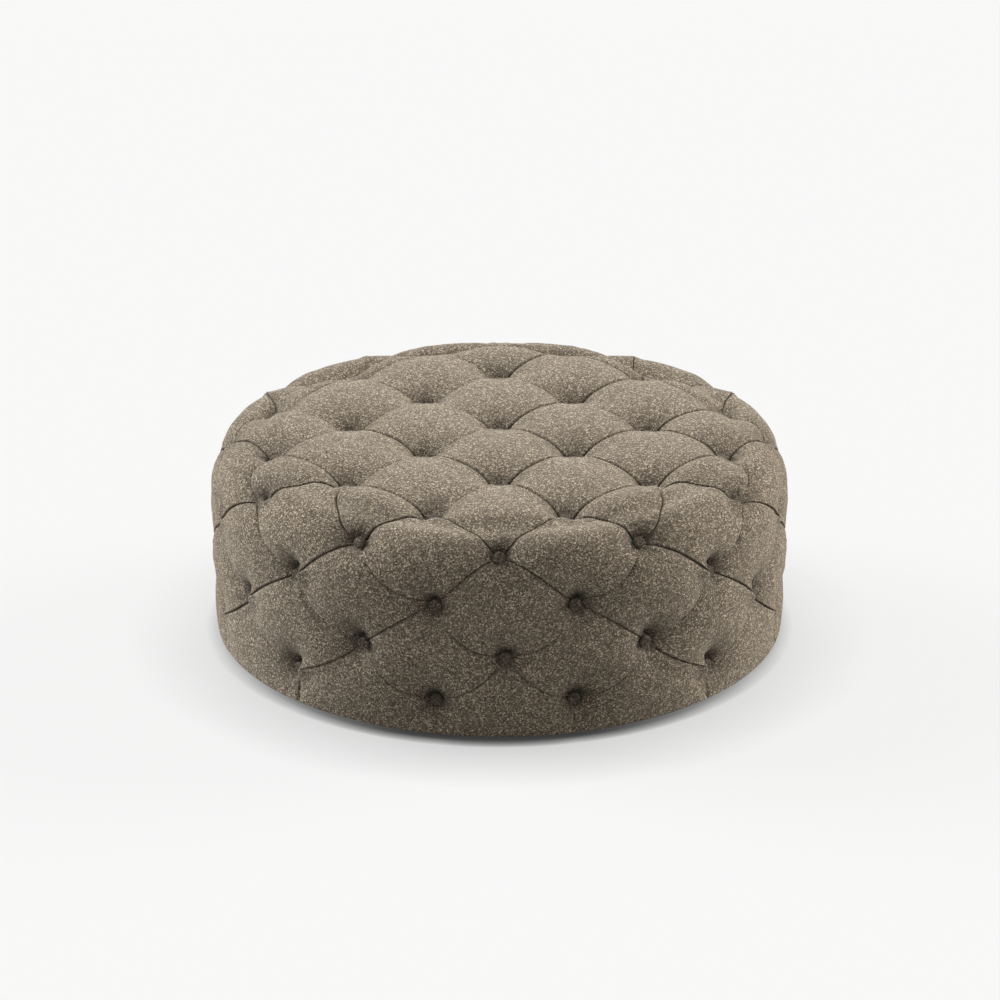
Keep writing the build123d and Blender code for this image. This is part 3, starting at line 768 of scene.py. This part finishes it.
def pit_shade(tuft, past, steep, aside):
    """The painted shade round a button, which reaches farther on its open side and away from the front.
    """
    reach = PIT_SHADE_REACH * (1 + PIT_SHADE_ASIDE * aside)
    reach = reach * (1 - PIT_SHADE_LEAN * steep.clip(-1, 1))
    fade = np.exp(-(np.maximum(past - PIT_OPEN, 0) / reach))
    most = TOP_PIT_SHADE if tuft.on_top else SIDE_PIT_SHADE
    return fade * (PIT_SHADE_LEVEL - PIT_SHADE_TILT * steep) * most


def make_object(name, bm, material):
    """An object from a bmesh, smooth shaded."""
    mesh = bpy.data.meshes.new(name)
    bm.to_mesh(mesh)
    bm.free()
    mesh.polygons.foreach_set("use_smooth", [True] * len(mesh.polygons))
    piece = bpy.data.objects.new(name, mesh)
    bpy.context.scene.collection.objects.link(piece)
    mesh.materials.append(material)
    return piece


# Materials
def add_node(tree, kind, inputs=None, **settings):
    """A shader node with its settings and the values of its inputs."""
    node = tree.nodes.new("ShaderNode" + kind)
    for name, value in settings.items():
        setattr(node, name, value)
    for name, value in (inputs or {}).items():
        node.inputs[name].default_value = value
    return node


def new_group(name, inputs, outputs):
    """A node group with named sockets, and its input and output nodes."""
    tree = bpy.data.node_groups.new(name, "ShaderNodeTree")
    for direction, sockets in (("INPUT", inputs), ("OUTPUT", outputs)):
        for socket, kind in sockets.items():
            tree.interface.new_socket(name=socket, in_out=direction, socket_type="NodeSocket" + kind)
    return tree, tree.nodes.new("NodeGroupInput"), tree.nodes.new("NodeGroupOutput")


def new_material(name, inputs):
    """A material with a Principled BSDF of the given inputs, and its tree and shader."""
    material = bpy.data.materials.new(name)
    material.use_nodes = True
    tree = material.node_tree
    tree.nodes.clear()
    output = add_node(tree, "OutputMaterial")
    shader = add_node(tree, "BsdfPrincipled", inputs)
    tree.links.new(shader.outputs["BSDF"], output.inputs["Surface"])
    return material, tree, shader


def place_group(tree, group):
    """A node group in a material's tree, fed with the piece's own coordinates."""
    node = add_node(tree, "Group", node_tree=group)
    coordinates = add_node(tree, "TexCoord")
    tree.links.new(coordinates.outputs["Object"], node.inputs["Place"])
    return node


def make_uneven_tone():
    """A group that makes a tone a little darker and lighter over the surface."""
    sockets = {"Place": "Vector", "Tone": "Color"}
    tree, given, result = new_group("uneven tone", sockets, {"Colour": "Color"})
    clouds = add_node(tree, "TexNoise", {"Scale": 60})
    strength = add_node(tree, "Mix", {"A": 0.85, "B": 1.12})
    toned = add_node(tree, "Mix", data_type="RGBA", blend_type="MULTIPLY")
    toned.inputs["Factor"].default_value = 1
    tree.links.new(given.outputs["Place"], clouds.inputs["Vector"])
    tree.links.new(clouds.outputs["Fac"], strength.inputs["Factor"])
    tree.links.new(given.outputs["Tone"], toned.inputs["A"])
    tree.links.new(strength.outputs["Result"], toned.inputs["B"])
    tree.links.new(toned.outputs["Result"], result.inputs["Colour"])
    return tree


def make_looped_wool():
    """A group for the cloth: light flecks on a darker ground, darkened by a share of painted shade, and
    their relief.
    """
    sockets = {"Place": "Vector", "Painted shade": "Float"}
    tree, given, result = new_group("looped wool", sockets, {"Colour": "Color", "Relief": "Float"})
    curl = add_node(tree, "TexNoise", {"Scale": 380, "Detail": 2})
    shift = add_node(tree, "Mix", data_type="VECTOR")
    shift.inputs["Factor"].default_value = 0.0020
    fleck = add_node(tree, "TexVoronoi", {"Scale": 530})
    tone = add_node(tree, "SeparateColor")
    ramp = add_node(tree, "ValToRGB")
    ramp.color_ramp.elements[0].color = (0.062, 0.049, 0.035, 1)
    ramp.color_ramp.elements[1].color = (0.70, 0.60, 0.46, 1)
    for place, colour in ((0.40, (0.155, 0.128, 0.096, 1)), (0.78, (0.240, 0.201, 0.154, 1))):
        ramp.color_ramp.elements.new(place).color = colour
    # Painted shade: this mix draws the cloth's colour towards the dark tone below, by the share given
    with_painted_shade = add_node(tree, "Mix", data_type="RGBA", blend_type="MULTIPLY")
    with_painted_shade.inputs["B"].default_value = (0.10, 0.095, 0.09, 1)
    tree.links.new(given.outputs["Place"], curl.inputs["Vector"])
    tree.links.new(given.outputs["Place"], shift.inputs["A"])
    tree.links.new(curl.outputs["Color"], shift.inputs["B"])
    tree.links.new(shift.outputs["Result"], fleck.inputs["Vector"])
    tree.links.new(fleck.outputs["Color"], tone.inputs["Color"])
    tree.links.new(tone.outputs["Red"], ramp.inputs["Fac"])
    tree.links.new(given.outputs["Painted shade"], with_painted_shade.inputs["Factor"])
    tree.links.new(ramp.outputs["Color"], with_painted_shade.inputs["A"])
    tree.links.new(with_painted_shade.outputs["Result"], result.inputs["Colour"])
    tree.links.new(fleck.outputs["Distance"], result.inputs["Relief"])
    return tree


uneven_tone = make_uneven_tone()
looped_wool = make_looped_wool()


def plain(name, colour, roughness, metallic=0.0):
    """A one-colour finish with an uneven tone."""
    material, tree, shader = new_material(name, {"Roughness": roughness, "Metallic": metallic})
    tone = place_group(tree, uneven_tone)
    tone.inputs["Tone"].default_value = (*colour, 1)
    tree.links.new(tone.outputs["Colour"], shader.inputs["Base Color"])
    return material


def boucle(name, painted_shade=None):
    """The looped wool with painted shade, given evenly or, if none is given, taken from the mesh's shade
    attribute.
    """
    finish = {
        "Roughness": 0.95,
        "Specular IOR Level": 0.15,
        "Sheen Weight": 0.2,
        "Sheen Roughness": 0.6,
        "Sheen Tint": (0.62, 0.58, 0.52, 1),
    }
    material, tree, shader = new_material(name, finish)
    wool = place_group(tree, looped_wool)
    if painted_shade is None:
        shade = add_node(tree, "Attribute", attribute_name="shade")
        tree.links.new(shade.outputs["Fac"], wool.inputs["Painted shade"])
    else:
        wool.inputs["Painted shade"].default_value = painted_shade
    bump = add_node(tree, "Bump", {"Strength": 0.7, "Distance": 0.0009}, invert=True)
    tree.links.new(wool.outputs["Colour"], shader.inputs["Base Color"])
    tree.links.new(wool.outputs["Relief"], bump.inputs["Height"])
    tree.links.new(bump.outputs["Normal"], shader.inputs["Normal"])
    return material


boucle_material = boucle("boucle")
# The buttons' cloth gets an even painted shade, for the shade of the pits they sit in
button_material = boucle("button cloth", painted_shade=0.70)
twine_material = plain("twine", (0.55, 0.48, 0.36), 0.85)
dust_material = plain("dust cloth", (0.018, 0.018, 0.019), 0.95)
nylon_material = plain("nylon", (0.02, 0.02, 0.021), 0.45)
staple_material = plain("staple steel", (0.55, 0.55, 0.56), 0.35, 1.0)
zinc_material = plain("zinc steel", (0.50, 0.50, 0.48), 0.4, 1.0)
plywood_material = plain("plywood", (0.56, 0.40, 0.24), 0.6)
softwood_material = plain("softwood", (0.62, 0.45, 0.27), 0.6)
wadding_material = plain("wadding", (0.80, 0.79, 0.76), 0.95)
foam_material = plain("foam", (0.72, 0.66, 0.45), 0.9)

finishes = {
    "buttons": button_material,
    "ties": twine_material,
    "toggles": softwood_material,
    "screws": zinc_material,
    "nails": zinc_material,
    "staples": staple_material,
    "glide": nylon_material,
    "dust_cover": dust_material,
    "deck": plywood_material,
    "base_ring": plywood_material,
    "panel": plywood_material,
    "rail": softwood_material,
    "batten": softwood_material,
    "post": softwood_material,
    "wadding": wadding_material,
    "foam": foam_material,
}


def finish_for(name):
    """The finish of a CAD node, by its last word for small parts, or else by the longest known word."""
    words = [word for word in finishes if word in name]
    if name.endswith(("_staples", "_screws", "_nails", "_buttons", "_ties", "_toggles")):
        words = [name.rsplit("_", 1)[1]]
    return finishes[max(words, key=len)]


for name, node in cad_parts.items():
    if name != "tufted_cover":
        for slot in node.material_slots:
            slot.material = finish_for(name)

# Wadding and foam
for name, depth, material, nodes in (
    ("wadding_layer", WADDING_DEPTH, wadding_material, ("wadding",)),
    ("foam_layer", FOAM_DEPTH, foam_material, ("top_foam", "side_foam")),
):
    layer = make_object(name, Skin(INNER_CUTS).finish(depth, detailed=False), material)
    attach(layer, "root")
    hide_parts(*nodes)

# Cover
cover = make_object("cover", Skin(GRID_CUTS).finish(0, detailed=True), boucle_material)
smooth = cover.modifiers.new("smooth", "SUBSURF")
smooth.levels = 1
smooth.render_levels = 1
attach(cover, "root")
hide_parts("tufted_cover")


# Floor and light
def leaning(tree, back, up):
    """A direction that leans away from the camera, so that the floor in front looks at the object."""
    return add_node(tree, "CombineXYZ", {"Y": back, "Z": up}).outputs["Vector"]


def contact_shadow(tree):
    """The floor's tone, with a narrow deep shadow where the object meets it, strongest in front."""
    near = add_node(tree, "AmbientOcclusion", {"Distance": CONTACT_REACH})
    tree.links.new(leaning(tree, *CONTACT_LEAN), near.inputs["Normal"])
    deepened = add_node(tree, "Math", operation="POWER")
    deepened.inputs[1].default_value = CONTACT_POWER
    tree.links.new(near.outputs["AO"], deepened.inputs[0])
    coordinates = add_node(tree, "TexCoord")
    place = add_node(tree, "SeparateXYZ")
    tree.links.new(coordinates.outputs["Object"], place.inputs["Vector"])
    start, end = CONTACT_FADE
    fade = {"From Min": start, "From Max": end, "To Min": CONTACT_LEAST}
    forward = add_node(tree, "MapRange", fade)
    tree.links.new(place.outputs["Y"], forward.inputs["Value"])
    eased = add_node(tree, "Mix", {"A": 1})
    tree.links.new(forward.outputs["Result"], eased.inputs["Factor"])
    tree.links.new(deepened.outputs["Value"], eased.inputs["B"])
    toned = add_node(tree, "Math", operation="MULTIPLY")
    toned.inputs[1].default_value = FLOOR_TONE
    tree.links.new(eased.outputs["Result"], toned.inputs[0])
    return toned.outputs["Value"]


def wide_shadow(tree):
    """A wide weak shadow in front of the object."""
    wide = add_node(tree, "AmbientOcclusion", {"Distance": WIDE_REACH})
    tree.links.new(leaning(tree, *WIDE_LEAN), wide.inputs["Normal"])
    return wide.outputs["Color"]


def add_floor():
    """A wide floor that shows the backdrop's tone and a softened shadow, and throws back less light."""
    mesh = bmesh.new()
    bmesh.ops.create_grid(mesh, x_segments=1, y_segments=1, size=30)
    finish = {"Base Color": (0.76, 0.76, 0.76, 1), "Roughness": 1, "Specular IOR Level": 0}
    material, tree, shader = new_material("floor", finish)
    both = add_node(tree, "Mix", data_type="RGBA", blend_type="MULTIPLY")
    both.inputs["Factor"].default_value = WIDE_SHARE
    tree.links.new(contact_shadow(tree), both.inputs["A"])
    tree.links.new(wide_shadow(tree), both.inputs["B"])
    backdrop = add_node(tree, "Emission")
    tree.links.new(both.outputs["Result"], backdrop.inputs["Color"])
    dim = add_node(tree, "BsdfDiffuse", {"Color": (0.42, 0.42, 0.42, 1)})
    shown = add_node(tree, "MixShader", {"Fac": LIT_SHARE})
    tree.links.new(backdrop.outputs["Emission"], shown.inputs[1])
    tree.links.new(shader.outputs["BSDF"], shown.inputs[2])
    rays = add_node(tree, "LightPath")
    choice = add_node(tree, "MixShader")
    tree.links.new(rays.outputs["Is Camera Ray"], choice.inputs["Fac"])
    tree.links.new(dim.outputs["BSDF"], choice.inputs[1])
    tree.links.new(shown.outputs["Shader"], choice.inputs[2])
    output = next(node for node in tree.nodes if node.type == "OUTPUT_MATERIAL")
    tree.links.new(choice.outputs["Shader"], output.inputs["Surface"])
    make_object("floor", mesh, material)


def add_world():
    """Even light from all round, and the backdrop's tone behind the object."""
    world = bpy.data.worlds.new("studio")
    bpy.context.scene.world = world
    world.use_nodes = True
    tree = world.node_tree
    tree.nodes.clear()
    output = add_node(tree, "OutputWorld")
    seen = add_node(tree, "Background", {"Color": (0.92, 0.92, 0.92, 1)})
    felt = add_node(tree, "Background", {"Color": (1, 0.965, 0.91, 1), "Strength": 0.37})
    rays = add_node(tree, "LightPath")
    mix = add_node(tree, "MixShader")
    tree.links.new(rays.outputs["Is Camera Ray"], mix.inputs["Fac"])
    tree.links.new(felt.outputs["Background"], mix.inputs[1])
    tree.links.new(seen.outputs["Background"], mix.inputs[2])
    tree.links.new(mix.outputs["Shader"], output.inputs["Surface"])


def add_sun(name, azimuth, elevation, spread, strength, colour=(1, 1, 1)):
    """A distant light with soft shadows."""
    light = bpy.data.lights.new(name, "SUN")
    light.color = colour
    light.angle = math.radians(spread)
    light.energy = strength
    lamp = bpy.data.objects.new(name, light)
    source = slope_out(azimuth, elevation)
    lamp.rotation_euler = (-source).to_track_quat("-Z", "Y").to_euler()
    bpy.context.scene.collection.objects.link(lamp)


def add_camera():
    """A camera where the photograph's stood, as far as the fit tells."""
    back = Vector((0, -math.cos(CAMERA_ELEVATION), math.sin(CAMERA_ELEVATION)))
    camera_data = bpy.data.cameras.new("camera")
    camera_data.sensor_width = SENSOR
    camera_data.lens = FOCAL_SHARE * SENSOR
    camera_data.clip_end = FARTHEST
    camera = bpy.data.objects.new("camera", camera_data)
    camera.location = CAMERA_TARGET + back * CAMERA_DISTANCE
    camera.rotation_euler = (-back).to_track_quat("-Z", "Y").to_euler()
    bpy.context.scene.collection.objects.link(camera)
    bpy.context.scene.camera = camera


add_floor()
add_world()
add_sun("left light", azimuth=-116, elevation=24, spread=32, strength=3.95)
add_sun("right light", azimuth=114, elevation=18, spread=32, strength=3.85, colour=(1, 0.965, 0.92))
add_sun("overhead light", azimuth=180, elevation=68, spread=60, strength=0.35)
add_camera()
bpy.context.scene.view_settings.view_transform = "Standard"
